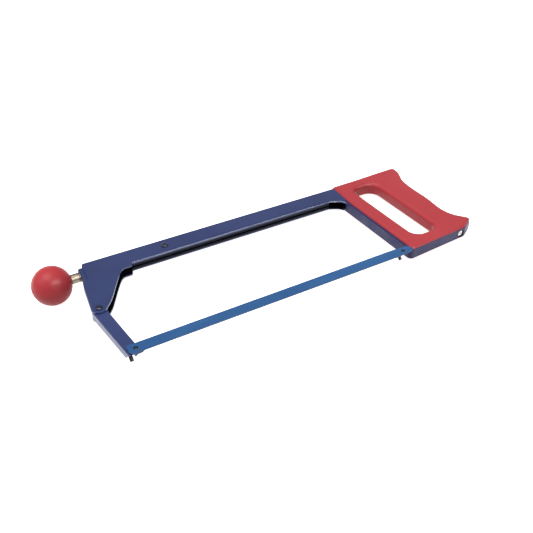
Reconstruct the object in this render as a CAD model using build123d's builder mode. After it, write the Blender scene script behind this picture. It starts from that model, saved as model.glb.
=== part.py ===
"""Hacksaw with a D handle, a swinging front arm and a ball tension knob.

The saw lies on its side: +X from knob to handle, +Y from blade to spine,
+Z out of the side the blade is mounted on. Millimetres.
"""
import os
from math import cos, radians, sin, tan

from build123d import *

# ---- driving dimensions, saw frame: x = 0 at the front blade hole, y = 0 on the blade line
blade_span = 300.0
blade_width = 13.2
blade_thick = 0.65
blade_z = 6.45
blade_hole_r = 2.3
tooth_pitch = 25.4 / 18
tooth_depth = 0.8

knob_r = 20.0
knob_x = -34.4
screw_y = 135.4
screw_r = 3.0
screw_tip_x = 82.0
ferrule_r = 5.0

sheet = 1.5
spine_half = 6.0
spine_top = 149.0
fold_y = 124.7
fold_r = 2.4
flank_y = 119.6
slit_half = 1.0
tail_x = 328.0
tail_y = 117.0
rivet_places = [(316.0, 0.0), (322.0, 0.0)]
strap_rivet_r = 2.0
strap_rivet_head_r = 2.9

pivot_x = -8.3
pivot_y = 70.5
arm_half = 4.4
strap_x = 308.5
strap_thick = 3.0
strap_half = 5.75
strap_low = -2.9
handle_half = 8.0
handle_top = 153.5
handle_rear = 410.6

rivet_r = 2.5
rivet_head_r = 3.8
rivet_head_h = 1.9
pin_r = 1.85
shank_r = 1.45
bush_r = 3.5
run = 0.05
front_offset = blade_hole_r - pin_r - run

# centre of the whole saw, so that the origin sits under the middle of it
handle_reach = 410.1
blade_nose = 8.0
x_mid = (knob_x - knob_r + handle_reach) / 2
y_mid = (screw_y + knob_r - blade_nose) / 2
MID = Plane(origin=(-x_mid, -y_mid, knob_r))
inner_half = spine_half - sheet


def across(x, y, z=0.0):
    """Plane looking along +X at a saw-frame point."""
    return Plane(origin=(x - x_mid, y - y_mid, z + knob_r), x_dir=(0, 1, 0), z_dir=(1, 0, 0))


def slanted(x, y, z):
    """Plane facing down and back at 45 degrees, square to the second pair of blade pins."""
    return Plane(origin=(x - x_mid, y - y_mid, z + knob_r), x_dir=(1, 0, 0), z_dir=(0, -1, -1))


def near(shapes, x, y):
    """The vertex of a sketch closest to a point."""
    return shapes.sort_by_distance((x, y, 0))[0]


def box(x_from, x_to, y_from, y_to):
    """A rectangle between two pairs of limits, in the sketch being drawn."""
    with Locations(((x_from + x_to) / 2, (y_from + y_to) / 2)):
        Rectangle(x_to - x_from, y_to - y_from)


# ---- spine: one pressed channel with cheeks at the front and a tail inside the handle
nose = [(1.0, spine_top), (-1.0, 142.5), (-1.2, 119.2), (-6.4, 117.6)]
nose_rounds = [2.0, 2.5, 1.2]
cheek_front = (-9.9, 95.0)
cheek_throat = [(4.0, 73.4), (9.0, 80.4), (14.5, 89.6), (21.0, 100.5), (27.5, 111.0), (32.0, 116.9)]
cheek_r = 7.4
cheek_angles = [167.2, 264.3, 324.1]
flank_start = (38.0, flank_y)
flank_end = (44.0, flank_y)
fold_start = (46.6, fold_y)
fold_end = (291.0, fold_y)
gusset = [(297.5, 122.6), (302.5, flank_y), (306.5, 114.9), (strap_x, 109.7)]
cheek_inside = (-21.0, 45.0, 57.0, 127.0)
gusset_inside = (292.0, strap_x, 97.0, 127.0)
slit = (40.0, 340.0, 110.0, 130.0)
spine_rivet_x = 88.0
spine_rivet_y = 136.4


def on_cheek(angle):
    """A point on the round foot of the cheeks, about the pivot."""
    return pivot_x + cheek_r * cos(radians(angle)), pivot_y + cheek_r * sin(radians(angle))


with BuildPart() as frame_spine:
    with BuildSketch(MID):
        with BuildLine():
            Polyline(gusset[-1], (strap_x, tail_y), (tail_x, tail_y), (tail_x, spine_top), *nose)
            front = ThreePointArc(nose[-1], cheek_front, on_cheek(cheek_angles[0]))
            foot = ThreePointArc(front @ 1, on_cheek(cheek_angles[1]), on_cheek(cheek_angles[2]))
            throat = Spline(foot @ 1, *cheek_throat, flank_start, tangents=[foot % 1, (1, 0)])
            Polyline(throat @ 1, flank_end, fold_start, fold_end)
            Spline(fold_end, *gusset, tangents=[(1, 0), (0.25, -1)])
        make_face()
        for corner, radius in zip([nose[0], nose[2], nose[3]], nose_rounds):
            fillet(near(vertices(), *corner), radius)
        fillet(near(vertices(), *flank_end), 1.6)
    extrude(amount=spine_half, both=True)
    fillet(edges().filter_by(Axis.X).filter_by(lambda e: e.length > 200).group_by(Axis.Y)[0], fold_r)
    fillet(edges().filter_by(Axis.X).group_by(Axis.Y)[-1], sheet)
    # inside of the channel: open in front and under the cheeks, closed by two lips along the middle
    with BuildSketch(MID):
        box(-tail_x, tail_x, fold_y + sheet, spine_top - sheet)
        box(*cheek_inside)
        box(gusset_inside[0], tail_x, tail_y + sheet, fold_y + 2 * sheet)
        box(*gusset_inside)
    extrude(amount=inner_half, both=True, mode=Mode.SUBTRACT)
    with BuildSketch(MID):
        box(*slit)
    extrude(amount=slit_half, both=True, mode=Mode.SUBTRACT)
    with BuildSketch(MID.offset(-2 * spine_half)):
        with Locations((pivot_x, pivot_y), (spine_rivet_x, spine_rivet_y)):
            Circle(rivet_r)
    extrude(amount=4 * spine_half, mode=Mode.SUBTRACT)
    # holes for the two rivets that join the tail's lips to the strap's tab
    with BuildSketch(Plane(origin=(-x_mid, tail_y - y_mid, knob_r), x_dir=(1, 0, 0), z_dir=(0, 1, 0))):
        with Locations(*rivet_places):
            Circle(strap_rivet_r)
    extrude(amount=sheet, mode=Mode.SUBTRACT)
frame_spine.part.label = "frame_spine"

# ---- anchor nut inside the channel, held by a rivet right through the spine
nut_x = 79.0
nut_long = 30.0
nut_high = 12.0
with BuildPart() as anchor_nut:
    with BuildSketch(MID):
        with Locations((nut_x, screw_y)):
            RectangleRounded(nut_long, nut_high, 1.0)
    extrude(amount=inner_half, both=True)
    with BuildSketch(across(nut_x - nut_long / 2, screw_y)):
        Circle(screw_r + run)
    extrude(amount=screw_tip_x + 1.0 - (nut_x - nut_long / 2), mode=Mode.SUBTRACT)
    with BuildSketch(MID.offset(-spine_half)):
        with Locations((spine_rivet_x, spine_rivet_y)):
            Circle(rivet_r)
    extrude(amount=2 * spine_half, mode=Mode.SUBTRACT)
anchor_nut.part.label = "anchor_nut"


def domed_rivet(x, y, half):
    """A shank along Z with a domed head on each outer face."""
    with BuildPart() as rivet:
        with BuildSketch(MID.offset(-half)):
            with Locations((x, y)):
                Circle(rivet_r)
        extrude(amount=2 * half)
        for side in (-1, 1):
            level = MID.offset(side * half)
            with BuildSketch(level):
                with Locations((x, y)):
                    Circle(rivet_head_r)
            extrude(amount=side * rivet_head_h)
        ends = edges().filter_by(GeomType.CIRCLE).group_by(Axis.Z)
        fillet([ends[0], ends[-1]], rivet_head_h - 0.15)
    return rivet


pivot_rivet = domed_rivet(pivot_x, pivot_y, spine_half)
pivot_rivet.part.label = "pivot_rivet"
spine_rivet = domed_rivet(spine_rivet_x, spine_rivet_y, spine_half)
spine_rivet.part.label = "spine_rivet"

with BuildPart() as pivot_bush:
    with BuildSketch(MID):
        with Locations((pivot_x, pivot_y)):
            Circle(bush_r)
            Circle(rivet_r, mode=Mode.SUBTRACT)
    extrude(amount=inner_half, both=True)
pivot_bush.part.label = "pivot_bush"

# ---- front arm: a lever bent at the pivot, its foot cut at 45 degrees for the second pin
foot_pin_x = -4.6
foot_pin_y = 3.4
foot_pin_z = -3.2
foot_middle = (foot_pin_y + foot_pin_z) / 2
foot_r = 5.6
foot_corners = [(-7.8, -5.8), (4.6, -5.8)]
pivot_corner = (-15.6, 69.5)
waist = [(-8.4, 117.0), (3.6, 116.0)]
shoulders = [(-5.5, 126.0), (6.5, 126.0)]
top_corners = [(-4.0, 144.0), (3.5, 144.0)]
bend_r = 12.0
waist_r = 8.0
arm_edge_r = 0.7
pin_out = 5.0
pin_in = 3.0
pin_socket_z = -1.0
screw_slot_y = screw_y - 0.45
screw_slot_half = (3.9, 3.35)
clear = 40.0
with BuildPart() as front_arm:
    with BuildSketch(MID):
        with BuildLine():
            Polyline(foot_corners[0], pivot_corner, waist[0], shoulders[0], (-5.5, 141.5), *top_corners,
                     (6.5, 141.0), shoulders[1], waist[1], (-1.0, 76.0), (-1.8, 62.0), foot_corners[1],
                     close=True)
        make_face()
        fillet(near(vertices(), *pivot_corner), bend_r)
        fillet([near(vertices(), *corner) for corner in foot_corners], foot_r)
        fillet([near(vertices(), *corner) for corner in waist], waist_r)
        fillet([near(vertices(), *corner) for corner in shoulders], waist_r)
        fillet([near(vertices(), *corner) for corner in top_corners], 1.6)
    extrude(amount=arm_half, both=True)
    fillet(edges().group_by(Axis.Z)[0] + edges().group_by(Axis.Z)[-1], arm_edge_r)
    with BuildSketch(slanted(0.0, foot_middle, foot_middle)):
        Rectangle(clear, clear)
    extrude(amount=clear / 2, mode=Mode.SUBTRACT)
    with BuildSketch(MID.offset(-2 * arm_half)):
        with Locations((pivot_x, pivot_y)):
            Circle(bush_r + run)
    extrude(amount=4 * arm_half, mode=Mode.SUBTRACT)
    with BuildSketch(MID.offset(pin_socket_z)):
        with Locations((-front_offset, 0.0)):
            Circle(shank_r)
    extrude(amount=2 * arm_half, mode=Mode.SUBTRACT)
    with BuildSketch(slanted(foot_pin_x, foot_pin_y, foot_pin_z)):
        Circle(shank_r)
    extrude(amount=-pin_in, mode=Mode.SUBTRACT)
    # slotted hole for the tension screw, tall enough for the arm to tilt round it
    with BuildSketch(across(-clear / 2, screw_slot_y)):
        RectangleRounded(2 * screw_slot_half[0], 2 * screw_slot_half[1], screw_slot_half[1] - 0.1)
    extrude(amount=clear, mode=Mode.SUBTRACT)
front_arm.part.label = "front_arm"

# ---- blade pins: straight ones for the blade as it is fitted, slanted ones for turning it 45 degrees
lug_front = 294.0
lug_low = -3.0
lug_high = 6.0
lug_cut = 2.0
lug_face = 6.3
lug_socket_z = 3.0
rear_pin_x = 297.5
rear_pin_y = 2.75
rear_pin_out = 4.5
pin_top = blade_z + blade_thick + 0.5
pin_gap = 0.2
collar_top = blade_z - run
collar_r = 4.5


def turned_pin(level, x, y, inside, start, outside):
    """A pin with a chamfered end, standing out of a face on a thinner shank pressed into it."""
    with BuildPart() as pin:
        with BuildSketch(level.offset(-inside)):
            with Locations((x, y)):
                Circle(shank_r)
        extrude(amount=inside + start)
        with BuildSketch(level.offset(start)):
            with Locations((x, y)):
                Circle(pin_r)
        extrude(amount=outside - start)
        chamfer(faces().sort_by(Axis(level.origin, level.z_dir))[-1].edges(), 0.5)
    return pin


front_blade_pin = turned_pin(MID, -front_offset, 0.0, -pin_socket_z, arm_half, pin_top)
front_blade_pin.part.label = "front_blade_pin"
rear_blade_pin = turned_pin(MID, blade_span + front_offset, 0.0, -lug_socket_z, lug_face, pin_top)
rear_blade_pin.part.label = "rear_blade_pin"
front_angle_pin = turned_pin(slanted(foot_pin_x, foot_pin_y, foot_pin_z), 0.0, 0.0, pin_in, pin_gap, pin_out)
front_angle_pin.part.label = "front_angle_pin"

with BuildPart() as front_pin_collar:
    with BuildSketch(MID.offset(arm_half)):
        with Locations((-front_offset, 0)):
            Circle(collar_r)
            Circle(pin_r, mode=Mode.SUBTRACT)
    extrude(amount=collar_top - arm_half)
    chamfer(edges().group_by(Axis.Z)[-1].sort_by(SortBy.LENGTH)[-1], 0.3)
front_pin_collar.part.label = "front_pin_collar"

# ---- lug on the foot of the leg strap, with the rear pair of blade pins
with BuildPart() as rear_blade_lug:
    with BuildSketch(across(lug_front, 0.0)):
        with BuildLine():
            Polyline((lug_low, lug_face), (lug_high, lug_face), (lug_high, lug_cut - lug_high),
                     (lug_low, lug_cut - lug_low), close=True)
        make_face()
    extrude(amount=strap_x - lug_front)
    chamfer(faces().sort_by(Axis.X)[0].edges(), 0.5)
    with BuildSketch(MID.offset(lug_socket_z)):
        with Locations((blade_span + front_offset, 0)):
            Circle(shank_r)
    extrude(amount=lug_face, mode=Mode.SUBTRACT)
    with BuildSketch(slanted(rear_pin_x, rear_pin_y, lug_cut - rear_pin_y)):
        Circle(shank_r)
    extrude(amount=-pin_in, mode=Mode.SUBTRACT)
rear_blade_lug.part.label = "rear_blade_lug"
rear_angle_pin = turned_pin(slanted(rear_pin_x, rear_pin_y, lug_cut - rear_pin_y), 0.0, 0.0, pin_in, pin_gap,
                            rear_pin_out)
rear_angle_pin.part.label = "rear_angle_pin"

# ---- leg strap: down behind the blade, along under the handle, end curled up
run_slope = radians(3.95)
tab_x = tail_x - 2.0
curl_x = 391.0
curl_y = strap_low + (curl_x - strap_x) * tan(run_slope)
curl_end = (406.5, 11.6)
strap_outer = [(tab_x, tail_y), (strap_x, tail_y), (strap_x, strap_low), (curl_x, curl_y), curl_end]
strap_bend_r = 4.5
strap_end_r = 5.0
sunk_r = 4.5
sunk_deep = 2.2
sunk_x = 385.5
sunk_y = strap_low + (sunk_x - strap_x) * tan(run_slope)
sunk_z = -0.8
strap_face = Plane(origin=(sunk_x - x_mid, sunk_y - y_mid, knob_r + sunk_z), x_dir=(0, 0, 1),
                   z_dir=(sin(run_slope), -cos(run_slope), 0))


def under_tab(depth):
    """Plane below the strap's tab, looking up along +Y."""
    return Plane(origin=(-x_mid, tail_y - depth - y_mid, knob_r), x_dir=(1, 0, 0), z_dir=(0, -1, 0))


with BuildPart() as leg_strap:
    with BuildSketch(MID):
        with BuildLine():
            outer = FilletPolyline(*strap_outer, radius=strap_bend_r)
            offset(outer, amount=strap_thick, side=Side.LEFT)
        make_face()
    extrude(amount=strap_half, both=True)
    corners = faces().sort_by(Axis.X)[-1].edges().filter_by(lambda e: abs(e.length - strap_thick) < run)
    fillet(corners, strap_end_r)
    with BuildSketch(strap_face):
        Circle(sunk_r)
    extrude(amount=-sunk_deep, mode=Mode.SUBTRACT)
    with BuildSketch(strap_face):
        Circle(rivet_r)
    extrude(amount=-2 * strap_thick, mode=Mode.SUBTRACT)
    with BuildSketch(under_tab(strap_thick)):
        with Locations(*rivet_places):
            Circle(strap_rivet_r)
    extrude(amount=-strap_thick, mode=Mode.SUBTRACT)
leg_strap.part.label = "leg_strap"

with BuildPart() as strap_rivets:
    for depth, length in ((-sheet, -sheet), (strap_thick, sheet)):
        with BuildSketch(under_tab(depth)):
            with Locations(*rivet_places):
                Circle(strap_rivet_head_r)
        extrude(amount=length)
    with BuildSketch(under_tab(-sheet)):
        with Locations(*rivet_places):
            Circle(strap_rivet_r)
    extrude(amount=sheet + strap_thick)
strap_rivets.part.label = "strap_rivets"

# ---- handle: one plastic moulding with a finger slot, a mouth for the spine and a groove for the strap
handle_x = strap_x + strap_thick
handle_low = strap_low + 0.1
top_rear = (handle_rear, handle_top)
top_front = (handle_x + 3.0, 150.3)
foot_rear = (409.0, 13.0)
grip_top = (409.4, 141.0)
grip_back = [(401.5, 24.0), (395.6, 36.0), (396.6, 66.0), (397.5, 98.0), (401.5, 124.0)]
slot_x = (331.0, 364.0)
slot_y = (17.0, 134.0)
round_r = 3.8
slot_corner = 11.0
slot_round = 4.6
mouth_x = 300.0
groove_end = (425.0, 22.1)
insert_r = 4.5
insert_long = 11.0
insert_gap = 0.2
with BuildPart() as handle:
    with BuildSketch(MID):
        with BuildLine():
            Polyline(grip_top, top_rear, (392.0, 152.9), (345.0, 150.8), top_front, (handle_x, tail_y - 4.0),
                     (handle_x, handle_low), (curl_x, curl_y - 0.1), foot_rear)
            Spline(foot_rear, *grip_back, grip_top, tangents=[(-0.35, 1), (0.38, 1)])
        make_face()
        fillet(near(vertices(), *top_rear), 5.0)
        fillet(near(vertices(), *foot_rear), 4.2)
        fillet(near(vertices(), handle_x, handle_low), 2.0)
        fillet(near(vertices(), *top_front), 2.0)
    extrude(amount=handle_half, both=True)
    rims = edges().group_by(Axis.Z)
    fillet(rims[0] + rims[-1], round_r)
    with BuildSketch(MID):
        with Locations(((slot_x[0] + slot_x[1]) / 2, (slot_y[0] + slot_y[1]) / 2)):
            RectangleRounded(slot_x[1] - slot_x[0], slot_y[1] - slot_y[0], slot_corner)
    extrude(amount=handle_half, both=True, mode=Mode.SUBTRACT)
    slot_rims = edges(Select.LAST).group_by(Axis.Z)
    fillet(slot_rims[0] + slot_rims[-1], slot_round)
    # groove that the strap lies in, mouth for the tail of the spine, seat for the threaded sleeve
    with BuildSketch(MID):
        with BuildLine():
            groove = FilletPolyline(*strap_outer[1:], groove_end, radius=strap_bend_r)
            offset(groove, amount=strap_thick, side=Side.LEFT)
        make_face()
    extrude(amount=strap_half, both=True, mode=Mode.SUBTRACT)
    with BuildSketch(MID):
        with BuildLine():
            Polyline((mouth_x, -knob_r), (mouth_x, strap_low + 1.0), (handle_x, strap_low + 1.0),
                     (curl_x, curl_y + 1.0), (groove_end[0], groove_end[1] + 1.0), (groove_end[0], -knob_r),
                     close=True)
        make_face()
    extrude(amount=strap_half, both=True, mode=Mode.SUBTRACT)
    with BuildSketch(MID):
        box(mouth_x, tail_x, tail_y, spine_top)
    extrude(amount=spine_half, both=True, mode=Mode.SUBTRACT)
    with BuildSketch(MID):
        box(mouth_x, tab_x, tail_y - 2 * strap_thick, tail_y)
    extrude(amount=strap_half, both=True, mode=Mode.SUBTRACT)
    with BuildSketch(strap_face):
        Circle(insert_r)
    extrude(amount=-strap_thick - insert_long, mode=Mode.SUBTRACT)
handle.part.label = "handle"

with BuildPart() as handle_insert:
    with BuildSketch(strap_face.offset(-strap_thick - insert_gap)):
        Circle(insert_r)
        Circle(rivet_r, mode=Mode.SUBTRACT)
    extrude(amount=insert_gap - insert_long)
handle_insert.part.label = "handle_insert"

head_r = 3.5
head_h = 1.1
drive_long = 4.2
drive_wide = 0.9
with BuildPart() as strap_screw:
    with BuildSketch(strap_face.offset(-sunk_deep)):
        Circle(head_r)
    extrude(amount=head_h)
    fillet(edges().filter_by(GeomType.CIRCLE).sort_by(Axis(strap_face.origin, strap_face.z_dir))[-1], 0.8)
    with BuildSketch(strap_face.offset(-sunk_deep)):
        Circle(rivet_r)
    extrude(amount=-insert_long)
    with BuildSketch(strap_face.offset(head_h - sunk_deep)):
        Rectangle(drive_long, drive_wide)
        Rectangle(drive_wide, drive_long)
    extrude(amount=-0.8, mode=Mode.SUBTRACT)
strap_screw.part.label = "strap_screw"

# ---- tension screw: washer against the arm, plated ferrule, ball knob on a threaded sleeve
arm_front_x = -5.5
washer_thick = 1.0
washer_r = 5.2
ball_flat_x = -15.3
sleeve_end_x = -34.0
sleeve_r = 5.0
ferrule_back_x = arm_front_x - washer_thick - 2 * run


def turned(start_x, end_x, outside, inside=0.0, bevel=0.0):
    """A round piece on the tension screw's axis, its outer edges bevelled."""
    with BuildPart() as piece:
        with BuildSketch(across(start_x, screw_y)):
            Circle(outside)
        extrude(amount=end_x - start_x)
        if bevel > 0:
            chamfer(edges().filter_by(GeomType.CIRCLE), bevel)
        if inside > 0:
            with BuildSketch(across(start_x, screw_y)):
                Circle(inside)
            extrude(amount=end_x - start_x, mode=Mode.SUBTRACT)
    return piece


thrust_washer = turned(ferrule_back_x + run, arm_front_x - run, washer_r, screw_r + 2 * run, 0.15)
thrust_washer.part.label = "thrust_washer"
screw_ferrule = turned(ball_flat_x, ferrule_back_x, ferrule_r, screw_r, 0.5)
screw_ferrule.part.label = "screw_ferrule"
knob_insert = turned(sleeve_end_x, ball_flat_x, sleeve_r, screw_r)
knob_insert.part.label = "knob_insert"
tension_screw = turned(sleeve_end_x, screw_tip_x, screw_r, 0.0, 0.8)
tension_screw.part.label = "tension_screw"

with BuildPart() as knob_ball:
    with BuildSketch(Plane(origin=(knob_x - x_mid, screw_y - y_mid, knob_r))):
        Circle(knob_r)
        with Locations((0, -knob_r)):
            Rectangle(2 * knob_r, 2 * knob_r, mode=Mode.SUBTRACT)
        with Locations((ball_flat_x - knob_x + knob_r, 0)):
            Rectangle(2 * knob_r, 2 * knob_r, mode=Mode.SUBTRACT)
    revolve(axis=Axis((knob_x - x_mid, screw_y - y_mid, knob_r), (1, 0, 0)))
    with BuildSketch(across(sleeve_end_x, screw_y)):
        Circle(sleeve_r)
    extrude(amount=knob_r, mode=Mode.SUBTRACT)
knob_ball.part.label = "knob_ball"

# ---- blade: toothed strip with a deeper nose and a tapered rear end
half_width = blade_width / 2
teeth_from = 6.0
teeth_to = 283.0
tooth_lean = 0.35
nose_end = [(-6.7, half_width - 1.5), (-6.7, -3.0), (-3.2, -blade_nose), (3.8, -blade_nose), (5.2, -half_width)]
rear_end = [(285.0, -half_width), (302.0, -5.2), (309.5, -3.6), (311.5, -1.5), (311.5, 2.2), (309.0, 4.6),
            (302.0, 5.6), (288.0, half_width)]
teeth = []
tooth_x = teeth_from
while tooth_x < teeth_to:
    teeth += [(tooth_x, -half_width), (tooth_x + tooth_lean, -half_width + tooth_depth)]
    tooth_x += tooth_pitch
with BuildPart() as blade:
    with BuildSketch(MID.offset(blade_z)):
        with BuildLine():
            Polyline(*nose_end, *teeth, *rear_end, (-5.2, half_width), close=True)
        make_face()
        with Locations((0, 0), (blade_span, 0)):
            Circle(blade_hole_r, mode=Mode.SUBTRACT)
    extrude(amount=blade_thick)
blade.part.label = "blade"

os.makedirs("parts", exist_ok=True)
for piece in (frame_spine, anchor_nut, pivot_rivet, spine_rivet, pivot_bush, front_arm, front_blade_pin,
              rear_blade_pin, front_angle_pin, front_pin_collar, rear_blade_lug, rear_angle_pin,
              leg_strap, strap_rivets, handle, handle_insert, strap_screw, thrust_washer,
              screw_ferrule, knob_insert, tension_screw, knob_ball, blade):
    export_step(piece.part, "parts/" + piece.part.label + ".step")
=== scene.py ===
"""Hacksaw lying on its side: materials, the cut thread of its tension screw, floor, light and camera."""
from math import atan2, cos, pi, radians, sin

import bpy
from mathutils import Matrix, Vector


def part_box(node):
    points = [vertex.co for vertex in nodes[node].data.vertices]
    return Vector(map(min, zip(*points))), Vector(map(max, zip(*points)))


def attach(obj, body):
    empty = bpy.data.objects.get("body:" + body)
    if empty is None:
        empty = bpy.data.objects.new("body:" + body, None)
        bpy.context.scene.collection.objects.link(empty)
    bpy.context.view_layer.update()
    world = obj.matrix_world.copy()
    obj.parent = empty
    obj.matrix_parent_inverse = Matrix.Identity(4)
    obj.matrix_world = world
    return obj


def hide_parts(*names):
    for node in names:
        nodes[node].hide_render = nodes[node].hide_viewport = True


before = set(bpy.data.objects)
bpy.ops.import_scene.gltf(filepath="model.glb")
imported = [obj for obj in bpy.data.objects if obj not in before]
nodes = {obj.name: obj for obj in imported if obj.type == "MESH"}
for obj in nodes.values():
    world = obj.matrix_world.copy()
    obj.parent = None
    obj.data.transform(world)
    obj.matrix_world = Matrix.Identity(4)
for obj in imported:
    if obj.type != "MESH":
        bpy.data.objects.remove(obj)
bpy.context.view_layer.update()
mm = 0.001


# ---- small helpers for node trees

def linear(red, green, blue):
    """An 8-bit display colour as linear RGBA."""
    out = []
    for value in (red, green, blue):
        part = value / 255
        out.append(part / 12.92 if part <= 0.04045 else ((part + 0.055) / 1.055) ** 2.4)
    return (*out, 1.0)


def shade(colour, factor):
    """The same colour, lighter or darker."""
    return (*(min(1.0, value * factor) for value in colour[:3]), 1.0)


class Shader:
    """One principled material and short calls for the nodes that feed it."""

    def __init__(self, name):
        self.material = bpy.data.materials.new(name)
        self.material.use_nodes = True
        self.tree = self.material.node_tree
        self.principled = self.tree.nodes["Principled BSDF"]
        self.place = self.node("ShaderNodeTexCoord").outputs["Object"]

    def node(self, kind, **settings):
        made = self.tree.nodes.new(kind)
        for key, value in settings.items():
            setattr(made, key, value)
        return made

    def link(self, source, target):
        self.tree.links.new(source, target)

    def set(self, **values):
        for key, value in values.items():
            self.principled.inputs[key.replace("_", " ")].default_value = value

    def stretched(self, sx, sy, sz):
        """Object coordinates scaled along each axis, for grain that runs one way."""
        mapping = self.node("ShaderNodeMapping")
        mapping.inputs["Scale"].default_value = (sx, sy, sz)
        self.link(self.place, mapping.inputs["Vector"])
        return mapping.outputs["Vector"]

    def noise(self, scale, detail=3.0, rough=0.5, where=None, distort=0.0):
        made = self.node("ShaderNodeTexNoise")
        made.inputs["Scale"].default_value = scale
        made.inputs["Detail"].default_value = detail
        made.inputs["Roughness"].default_value = rough
        made.inputs["Distortion"].default_value = distort
        self.link(where or self.place, made.inputs["Vector"])
        return made.outputs["Fac"]

    def ramp(self, source, low, high, start=0.0, end=1.0):
        """Maps a value from low..high to start..end, clamped."""
        made = self.node("ShaderNodeMapRange")
        made.inputs["From Min"].default_value = low
        made.inputs["From Max"].default_value = high
        made.inputs["To Min"].default_value = start
        made.inputs["To Max"].default_value = end
        self.link(source, made.inputs["Value"])
        return made.outputs["Result"]

    def math(self, operation, first, second):
        made = self.node("ShaderNodeMath", operation=operation)
        for socket, value in zip(made.inputs, (first, second)):
            if isinstance(value, (int, float)):
                socket.default_value = value
            else:
                self.link(value, socket)
        return made.outputs["Value"]

    def mix(self, factor, first, second):
        made = self.node("ShaderNodeMix", data_type="RGBA")
        self.link(factor, made.inputs[0])
        for socket, value in ((made.inputs[6], first), (made.inputs[7], second)):
            if isinstance(value, tuple):
                socket.default_value = value
            else:
                self.link(value, socket)
        return made.outputs[2]

    def edge_mask(self, radius, low=0.02, high=0.2):
        """1 along convex and concave edges, 0 on open faces, broken up by noise."""
        bevel = self.node("ShaderNodeBevel", samples=6)
        bevel.inputs["Radius"].default_value = radius
        flat = self.node("ShaderNodeNewGeometry").outputs["Normal"]
        dot = self.node("ShaderNodeVectorMath", operation="DOT_PRODUCT")
        self.link(bevel.outputs["Normal"], dot.inputs[0])
        self.link(flat, dot.inputs[1])
        away = self.math("SUBTRACT", 1.0, dot.outputs["Value"])
        broken = self.ramp(self.noise(420.0, 4.0, 0.65), 0.42, 0.62)
        return self.math("MULTIPLY", self.ramp(away, low, high), broken)

    def bump(self, *layers):
        """Stacks (height, distance) layers of bump, coarse first, into the shader's normal."""
        normal = None
        for height, strength, distance in layers:
            made = self.node("ShaderNodeBump")
            made.inputs["Strength"].default_value = strength
            made.inputs["Distance"].default_value = distance
            self.link(height, made.inputs["Height"])
            if normal is not None:
                self.link(normal, made.inputs["Normal"])
            normal = made.outputs["Normal"]
        self.link(normal, self.principled.inputs["Normal"])

    def colour(self, source):
        self.link(source, self.principled.inputs["Base Color"])

    def roughness(self, source):
        self.link(source, self.principled.inputs["Roughness"])


# ---- materials

def painted_shade_mask(s, half_width):
    """Mask of the painted shade: 1 on the lips within half_width of the saw's middle plane and on faces
    turned towards that plane.
    """
    low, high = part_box("frame_spine")
    middle = (low.z + high.z) / 2
    soft = 0.3 * mm
    xyz = s.node("ShaderNodeSeparateXYZ")
    s.link(s.place, xyz.inputs["Vector"])
    facing = s.node("ShaderNodeSeparateXYZ")
    s.link(s.node("ShaderNodeTexCoord").outputs["Normal"], facing.inputs["Vector"])
    offset = s.math("SUBTRACT", xyz.outputs["Z"], middle)
    between = s.ramp(s.math("ABSOLUTE", offset, 0.0), half_width - soft, half_width + soft, 1.0, 0.0)
    inward = s.ramp(s.math("MULTIPLY", offset, facing.outputs["Z"]), -3.0 * mm, -1.5 * mm, 1.0, 0.0)
    below_web = s.ramp(xyz.outputs["Y"], high.y - 1.2 * mm, high.y - 0.9 * mm, 1.0, 0.0)
    return s.math("MULTIPLY", s.math("MAXIMUM", between, inward), below_web)


def enamel(name, body, deep, bare, shine=0.36, peel=520.0, wear=0.4, coat=0.3, inside=None):
    """Stoved paint on steel: slow tone drift, orange peel, dust specks and edges rubbed thin.

    inside is the half-width of a pressed channel whose inner faces and lips get a dark painted shade, with
    less shine."""
    s = Shader(name)
    drift = s.ramp(s.noise(14.0, 3.0, 0.55), 0.32, 0.68)
    specks = s.ramp(s.noise(2600.0, 1.0, 0.4), 0.66, 0.74, 0.0, 0.35)
    scratches = s.ramp(s.noise(90.0, 5.0, 0.7, s.stretched(0.35, 6.0, 6.0), 0.3), 0.66, 0.7, 0.0, 0.3)
    edges = s.math("MULTIPLY", s.edge_mask(0.9 * mm), wear)
    toned = s.mix(drift, deep, body)
    dusted = s.mix(specks, toned, shade(body, 1.5))
    scuffed = s.mix(scratches, dusted, shade(body, 0.62))
    painted = s.mix(edges, scuffed, bare)
    if inside:
        # Painted shade: a near-black blue stands in for the shade inside the channel and under its lips, and
        # their specular and coat are turned down there too.
        painted_shade = painted_shade_mask(s, inside)
        painted = s.mix(painted_shade, painted, linear(24, 27, 42))
        s.link(s.ramp(painted_shade, 0.0, 1.0, 0.4, 0.08), s.principled.inputs["Specular IOR Level"])
        s.link(s.ramp(painted_shade, 0.0, 1.0, coat, 0.0), s.principled.inputs["Coat Weight"])
    s.colour(painted)
    s.link(s.math("MULTIPLY", edges, 0.85), s.principled.inputs["Metallic"])
    s.roughness(s.ramp(s.noise(60.0, 4.0, 0.6), 0.3, 0.7, shine - 0.07, shine + 0.09))
    s.bump((s.noise(peel, 2.0, 0.45), 0.22, 0.10 * mm), (s.noise(4200.0, 1.0, 0.5), 0.08, 0.03 * mm))
    s.set(Coat_Weight=coat, Coat_Roughness=0.16, Specular_IOR_Level=0.4)
    return s.material


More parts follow.
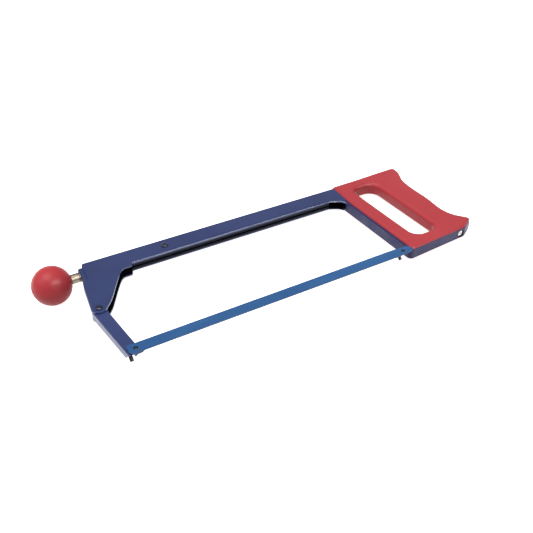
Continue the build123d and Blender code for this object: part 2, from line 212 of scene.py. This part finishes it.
def moulded(name, body, deep, light, shine, gloss, grain, grain_depth):
    """Injection-moulded plastic: faint flow marks, skin grain, rubbed and greasy patches."""
    s = Shader(name)
    flow = s.ramp(s.noise(9.0, 3.0, 0.5, s.stretched(1.0, 0.35, 1.0), 1.2), 0.3, 0.7)
    mottle = s.ramp(s.noise(700.0, 3.0, 0.6), 0.35, 0.65, 0.0, 0.45)
    edges = s.math("MULTIPLY", s.edge_mask(1.4 * mm, 0.05, 0.35), 0.35)
    toned = s.mix(flow, deep, body)
    s.colour(s.mix(edges, s.mix(mottle, toned, shade(body, 0.86)), light))
    s.roughness(s.ramp(s.noise(35.0, 4.0, 0.6), 0.3, 0.7, shine - 0.08, shine + 0.1))
    s.bump((s.noise(160.0, 2.0, 0.5), 0.12, 0.08 * mm), (s.noise(grain, 3.0, 0.6), 0.5, grain_depth))
    s.set(Subsurface_Weight=0.04, Subsurface_Scale=1.5 * mm, Specular_IOR_Level=gloss)
    return s.material


def turned_metal(name, body, deep, shine):
    """Bright turned or plated metal with fine tool rings round the X axis."""
    s = Shader(name)
    ring = s.noise(1.0, 3.0, 0.6, s.stretched(2600.0, 2.0, 2.0))
    tone = s.ramp(s.noise(120.0, 4.0, 0.6), 0.3, 0.7)
    s.colour(s.mix(tone, deep, body))
    s.roughness(s.ramp(ring, 0.3, 0.7, shine - 0.07, shine + 0.1))
    s.bump((ring, 0.25, 0.03 * mm), (s.noise(900.0, 3.0, 0.6), 0.08, 0.04 * mm))
    s.set(Metallic=1.0)
    return s.material


def plain_steel(name, body, deep, shine, stretch=(1.0, 1.0, 1.0)):
    """Drawn or blued steel: patchy tone, drawing lines and small pits."""
    s = Shader(name)
    tone = s.ramp(s.noise(150.0, 5.0, 0.65), 0.32, 0.68)
    lines = s.noise(500.0, 3.0, 0.6, s.stretched(*stretch))
    edges = s.math("MULTIPLY", s.edge_mask(0.35 * mm), 0.7)
    s.colour(s.mix(edges, s.mix(tone, deep, body), linear(150, 150, 155)))
    s.roughness(s.ramp(lines, 0.3, 0.7, shine - 0.08, shine + 0.12))
    s.bump((lines, 0.2, 0.04 * mm), (s.ramp(s.noise(1500.0, 2.0, 0.5), 0.6, 0.7), 0.25, 0.03 * mm))
    s.set(Metallic=0.85)
    return s.material


def blade_paint():
    """Blue lacquer on spring steel, rolled lines along it and teeth cut bright."""
    s = Shader("blade_lacquer")
    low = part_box("blade")[0]
    y = s.node("ShaderNodeSeparateXYZ")
    s.link(s.place, y.inputs["Vector"])
    rolled = s.noise(240.0, 4.0, 0.6, s.stretched(0.06, 3.0, 3.0))
    drift = s.ramp(s.noise(16.0, 3.0, 0.5), 0.3, 0.7)
    tooth_band = s.ramp(y.outputs["Y"], low.y + 2.1 * mm, low.y + 2.9 * mm, 0.75, 0.0)
    rubbed = s.math("MULTIPLY", tooth_band, s.ramp(s.noise(300.0, 4.0, 0.6), 0.35, 0.6))
    lacquer = s.mix(drift, linear(24, 80, 136), linear(36, 94, 150))
    lined = s.mix(s.ramp(rolled, 0.58, 0.72, 0.0, 0.35), lacquer, linear(78, 128, 172))
    s.colour(s.mix(rubbed, lined, linear(90, 100, 118)))
    s.link(s.math("MULTIPLY", rubbed, 0.6), s.principled.inputs["Metallic"])
    s.roughness(s.ramp(rolled, 0.3, 0.7, 0.34, 0.5))
    s.bump((rolled, 0.15, 0.02 * mm), (s.noise(3000.0, 1.0, 0.5), 0.06, 0.02 * mm))
    s.set(Coat_Weight=0.15, Coat_Roughness=0.25)
    return s.material


frame_blue = enamel("frame_enamel", linear(36, 54, 108), linear(24, 42, 96), linear(96, 100, 136),
                    wear=0.25, coat=0.6, inside=3.6 * mm)
strap_blue = enamel("strap_enamel", linear(36, 36, 90), linear(27, 27, 76), linear(108, 106, 146),
                    0.5, coat=0.0)
arm_blue = enamel("arm_enamel", linear(48, 62, 114), linear(36, 50, 102), linear(128, 124, 150),
                  0.38, 380.0, 0.6)
rivet_blue = enamel("rivet_enamel", linear(26, 33, 58), linear(18, 24, 44), linear(70, 72, 96), 0.22)
handle_red = moulded("handle_plastic", linear(190, 64, 70), linear(178, 56, 62), linear(222, 108, 116),
                     0.38, 0.28, 1900.0, 0.05 * mm)
knob_red = moulded("knob_plastic", linear(196, 64, 69), linear(184, 56, 61), linear(206, 88, 92),
                   0.42, 0.2, 2600.0, 0.02 * mm)
plated = turned_metal("plated_steel", linear(158, 147, 131), linear(112, 103, 91), 0.4)
bright_plated = turned_metal("bright_plated_steel", linear(232, 228, 220), linear(204, 198, 188), 0.24)
dark_steel = plain_steel("dark_steel", linear(62, 62, 68), linear(44, 44, 50), 0.42)
bare_steel = plain_steel("bare_steel", linear(168, 168, 172), linear(138, 138, 142), 0.38, (0.2, 4.0, 4.0))
brass = turned_metal("brass", linear(196, 164, 96), linear(170, 138, 74), 0.32)

finish = {
    "frame_spine": frame_blue, "leg_strap": strap_blue, "front_arm": arm_blue, "blade": blade_paint(),
    "pivot_rivet": rivet_blue, "spine_rivet": rivet_blue, "handle": handle_red, "knob_ball": knob_red,
    "thrust_washer": plated, "screw_ferrule": plated, "tension_screw": plated, "strap_screw": bright_plated,
    "anchor_nut": bare_steel, "pivot_bush": bare_steel, "strap_rivets": bare_steel,
    "rear_blade_lug": dark_steel, "rear_blade_pin": dark_steel, "rear_angle_pin": dark_steel,
    "front_blade_pin": dark_steel, "front_angle_pin": dark_steel, "front_pin_collar": dark_steel,
    "knob_insert": brass, "handle_insert": brass,
}
for name, material in finish.items():
    for place in nodes[name].material_slots:
        place.material = material


# ---- tension screw with its cut thread

def threaded_screw():
    """The screw's own length and radius from the frame, with a 1 mm thread from the arm inwards."""
    low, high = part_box("tension_screw")
    radius = (high.y - low.y) / 2
    axis_y = (high.y + low.y) / 2
    axis_z = (high.z + low.z) / 2
    pitch = 1.0 * mm
    depth = 0.55 * mm
    crest_share = 0.15
    bevel_long = 0.8 * mm
    bevel_deep = 0.7 * mm
    around = 32
    step = pitch / 8
    smooth_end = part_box("front_arm")[1].x + 1.0 * mm
    lead = 1.5 * mm
    rows = [low.x, smooth_end - 0.2 * mm]
    while rows[-1] + step < high.x:
        rows.append(rows[-1] + step)
    rows.append(high.x)
    points = []
    for x in rows:
        grown = min(1.0, max(0.0, (x - smooth_end) / lead))
        tip = min(1.0, (high.x - x) / bevel_long)
        for k in range(around):
            angle = 2 * pi * k / around
            phase = ((x - smooth_end) / pitch - k / around) % 1.0
            groove = max(0.0, abs(2 * phase - 1.0) - crest_share) / (1.0 - crest_share)
            r = radius - depth * grown * groove - bevel_deep * (1.0 - tip)
            points.append((x, axis_y + r * cos(angle), axis_z + r * sin(angle)))
    faces = []
    for i in range(len(rows) - 1):
        for k in range(around):
            after = (k + 1) % around
            faces.append((i * around + k, i * around + after, (i + 1) * around + after, (i + 1) * around + k))
    faces.append(tuple(reversed(range(around))))
    last = (len(rows) - 1) * around
    faces.append(tuple(range(last, last + around)))
    mesh = bpy.data.meshes.new("cut_thread_screw")
    mesh.from_pydata(points, [], faces)
    mesh.validate()
    for face in mesh.polygons:
        face.use_smooth = len(face.vertices) == 4
    screw = bpy.data.objects.new("cut_thread_screw", mesh)
    bpy.context.scene.collection.objects.link(screw)
    mesh.materials.append(plated)
    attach(screw, "knob")
    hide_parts("tension_screw")
    return screw


threaded_screw()


# ---- floor, light and camera

def pale_floor():
    """A wide pale sheet that the knob and the handle both rest on; it glows, so that no grey shadow shows."""
    ball_low, ball_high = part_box("knob_ball")
    handle_low, handle_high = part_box("handle")
    centre = (ball_low + ball_high) / 2
    radius = (ball_high.z - ball_low.z) / 2
    across = handle_high.x - centre.x
    tilt = atan2(handle_low.z - ball_low.z, across)
    mesh = bpy.data.meshes.new("floor")
    size = 6.0
    gap = 0.2 * mm
    corners = [(-size, -size, 0), (size, -size, 0), (size, size, 0), (-size, size, 0)]
    mesh.from_pydata(corners, [], [(0, 1, 2, 3)])
    floor = bpy.data.objects.new("floor", mesh)
    bpy.context.scene.collection.objects.link(floor)
    normal = Vector((-sin(tilt), 0, cos(tilt)))
    floor.location = Vector((centre.x, centre.y, centre.z)) - normal * (radius + gap)
    floor.rotation_euler = (0, -tilt, 0)
    s = Shader("floor_white")
    tone = s.ramp(s.noise(3.0, 2.0), 0.3, 0.7)
    s.colour(s.mix(tone, linear(250, 250, 250), linear(252, 252, 252)))
    s.set(Roughness=0.9, Specular_IOR_Level=0.1, Emission_Color=(1.0, 1.0, 1.0, 1.0), Emission_Strength=0.9)
    mesh.materials.append(s.material)
    floor.visible_diffuse = False


def pale_backdrop():
    """A white shell round the stage, seen behind the saw and lighting nothing."""
    bpy.ops.mesh.primitive_uv_sphere_add(segments=48, ring_count=24, radius=5.0)
    shell = bpy.context.object
    shell.name = "backdrop"
    s = Shader("backdrop_white")
    s.set(Base_Color=(0.0, 0.0, 0.0, 1.0), Roughness=1.0, Specular_IOR_Level=0.0,
          Emission_Color=(1.0, 1.0, 1.0, 1.0), Emission_Strength=1.0)
    shell.data.materials.append(s.material)
    shell.visible_diffuse = False
    shell.visible_glossy = False
    shell.visible_shadow = False


def area_light(name, place, aim, size, power, sheen_only=False):
    """A soft box of a given length and height; sheen_only leaves it out of the matt light."""
    data = bpy.data.lights.new(name, "AREA")
    data.shape = "RECTANGLE"
    data.size = size[0]
    data.size_y = size[1]
    data.energy = power
    lamp = bpy.data.objects.new(name, data)
    bpy.context.scene.collection.objects.link(lamp)
    lamp.location = place
    lamp.rotation_euler = (Vector(aim) - Vector(place)).to_track_quat("-Z", "Y").to_euler()
    lamp.visible_diffuse = not sheen_only


def sun_light(name, towards, strength, spread):
    """A sun of a given angular size; towards is the direction it stands in."""
    data = bpy.data.lights.new(name, "SUN")
    data.energy = strength
    data.angle = radians(spread)
    lamp = bpy.data.objects.new(name, data)
    bpy.context.scene.collection.objects.link(lamp)
    lamp.rotation_euler = Vector(towards).to_track_quat("Z", "Y").to_euler()


def white_room():
    world = bpy.data.worlds.new("room")
    world.use_nodes = True
    background = world.node_tree.nodes["Background"]
    background.inputs["Color"].default_value = (1.0, 1.0, 1.0, 1.0)
    background.inputs["Strength"].default_value = 0.36
    bpy.context.scene.world = world
    bpy.context.scene.view_settings.view_transform = "Standard"


def photo_camera():
    """Looks down at the saw from beyond the blade, knob end nearest."""
    eye = Vector((-314.65, -522.9, 438.9)) * mm
    aim = Vector((-11.65, -17.4, 20.0)) * mm
    roll = radians(0.38)
    data = bpy.data.cameras.new("camera")
    data.sensor_width = 36.0
    data.lens = 47.28
    camera = bpy.data.objects.new("camera", data)
    bpy.context.scene.collection.objects.link(camera)
    turn = (aim - eye).to_track_quat("-Z", "Y").to_matrix().to_4x4()
    camera.matrix_world = Matrix.Translation(eye) @ turn @ Matrix.Rotation(roll, 4, "Z")
    bpy.context.scene.camera = camera


pale_floor()
pale_backdrop()
white_room()
sun_light("overhead", (-0.25, 0.1, 1.0), 2.2, 40.0)
area_light("key", (-1.45, 0.48, 0.91), (-0.1, 0.0, 0.0), (0.5, 0.5), 3.0)
area_light("strip", (0.35, -0.93, 1.12), (0.35, 0.05, 0.0), (1.4, 0.3), 26.0, sheen_only=True)
area_light("front", (0.3, -1.6, 0.5), (0.0, 0.0, 0.0), (0.8, 0.5), 3.0)
photo_camera()
